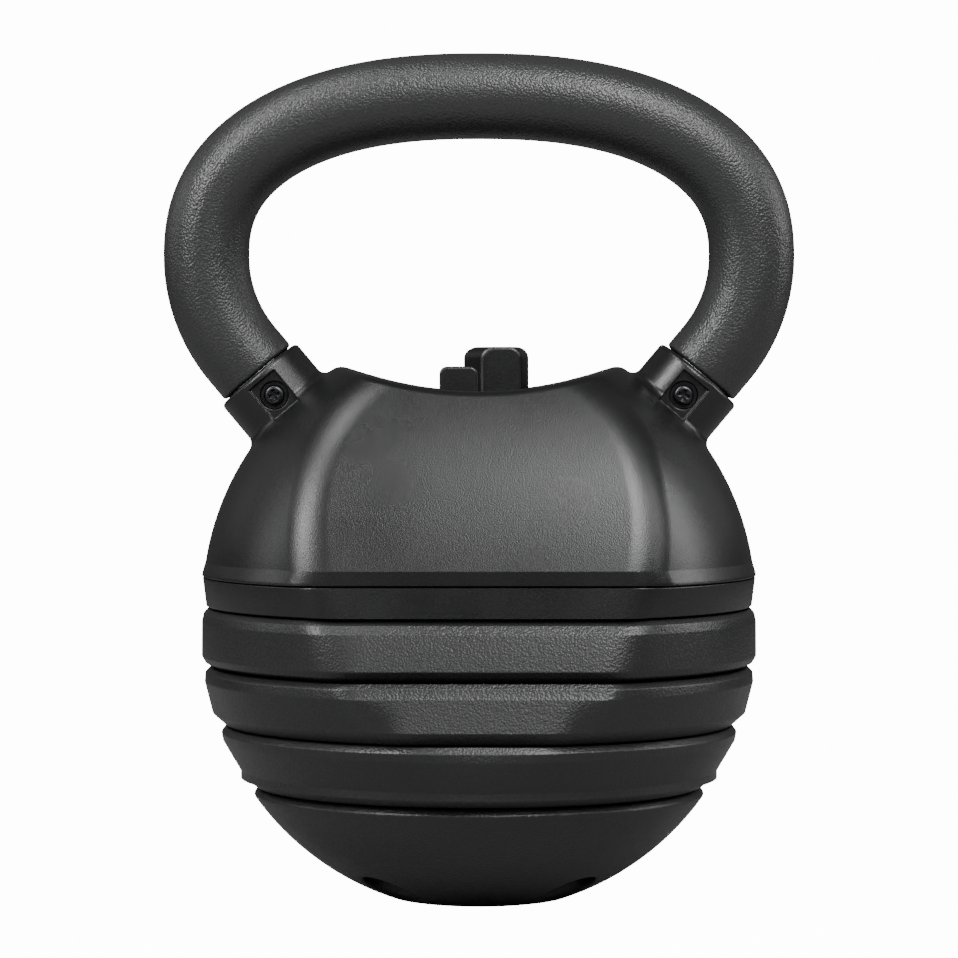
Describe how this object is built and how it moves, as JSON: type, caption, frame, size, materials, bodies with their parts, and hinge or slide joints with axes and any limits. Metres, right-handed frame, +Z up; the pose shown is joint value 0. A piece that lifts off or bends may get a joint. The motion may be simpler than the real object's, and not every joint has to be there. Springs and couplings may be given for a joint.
{
  "type": "adjustable kettlebell",
  "caption": "Adjustable kettlebell: thick bent grip on a flat-faced ball body, with stacked ring weights held by a dial-turned cam shaft and a sliding lock.",
  "frame": {"origin": "on the floor, under the centre of the base pad", "axes": "+Z up, +X to the right along the handle, +Y to the rear; the lock slider is at the front, on -Y"},
  "size_m": [0.2468, 0.2004, 0.3305],
  "materials": {
    "shell_plastic": "fine sand texture",
    "grained_plastic": "leather grain",
    "grip_sleeve": "coarse pebbled grain",
    "foot_rubber": "matte",
    "cast_weight": "as cast, painted dark",
    "black_screw": "black oxide, satin",
    "nylon": "smooth moulded",
    "plain_steel": "zinc plated, satin"
  },
  "bodies": {
    "bottom_weight": {"bottom_cover": "grained_plastic", "bottom_core": "cast_weight", "bottom_hub_plate": "plain_steel", "bottom_pin_left": "plain_steel", "bottom_pin_right": "plain_steel", "base_pad": "foot_rubber", "bottom_screw_1": "black_screw", "bottom_screw_2": "black_screw", "bottom_screw_3": "black_screw", "bottom_screw_4": "black_screw"},
    "plate_3": {"plate_3_cover": "grained_plastic", "plate_3_core": "cast_weight", "plate_3_hub_plate": "plain_steel", "plate_3_pin_left": "plain_steel", "plate_3_pin_right": "plain_steel"},
    "plate_2": {"plate_2_cover": "grained_plastic", "plate_2_core": "cast_weight", "plate_2_hub_plate": "plain_steel", "plate_2_pin_left": "plain_steel", "plate_2_pin_right": "plain_steel"},
    "plate_1": {"plate_1_cover": "grained_plastic", "plate_1_core": "cast_weight", "plate_1_hub_plate": "plain_steel", "plate_1_pin_left": "plain_steel", "plate_1_pin_right": "plain_steel"},
    "handle_unit": {"handle_grip": "grip_sleeve", "handle_tube": "plain_steel", "handle_bracket_left": "plain_steel", "handle_bracket_right": "plain_steel", "handle_screw_front_left": "black_screw", "handle_screw_rear_left": "black_screw", "handle_screw_front_right": "black_screw", "handle_screw_rear_right": "black_screw", "upper_shell": "shell_plastic", "base_skirt": "shell_plastic", "chassis_plate": "plain_steel", "lower_bushing": "nylon", "skirt_screw_1": "black_screw", "skirt_screw_2": "black_screw", "skirt_screw_3": "black_screw", "skirt_screw_4": "black_screw", "ballast_front": "cast_weight", "ballast_rear": "cast_weight", "dial_retainer": "plain_steel", "upper_bushing": "nylon", "retainer_screw_left": "black_screw", "retainer_screw_right": "black_screw"},
    "selector": {"selector_dial": "nylon", "selector_knob": "shell_plastic", "dial_screw": "black_screw", "selector_shaft": "plain_steel", "locking_cam_1": "plain_steel", "locking_cam_2": "plain_steel", "locking_cam_3": "plain_steel", "locking_cam_4": "plain_steel", "cam_spacer_1": "plain_steel", "cam_spacer_2": "plain_steel", "cam_spacer_3": "plain_steel", "shaft_nut": "plain_steel"},
    "lock": {"lock_slider": "shell_plastic"}
  },
  "joints": [
    {"name": "plate_3_lift", "type": "slide", "parent": "bottom_weight", "child": "plate_3", "axis": [0, 0, 1], "range_m": [0, 0.03]},
    {"name": "plate_2_lift", "type": "slide", "parent": "plate_3", "child": "plate_2", "axis": [0, 0, 1], "range_m": [0, 0.055]},
    {"name": "plate_1_lift", "type": "slide", "parent": "plate_2", "child": "plate_1", "axis": [0, 0, 1], "range_m": [0, 0.08]},
    {"name": "handle_lift", "type": "slide", "parent": "plate_1", "child": "handle_unit", "axis": [0, 0, 1], "range_m": [0, 0.105]},
    {"name": "selector_turn", "type": "hinge", "parent": "handle_unit", "child": "selector", "pos_m": [0, 0, 0.1914], "axis": [0, 0, 1], "range_deg": [0, 90]},
    {"name": "lock_slide", "type": "slide", "parent": "handle_unit", "child": "lock", "axis": [0, 1, 0], "range_m": [0, 0.004]}
  ]
}
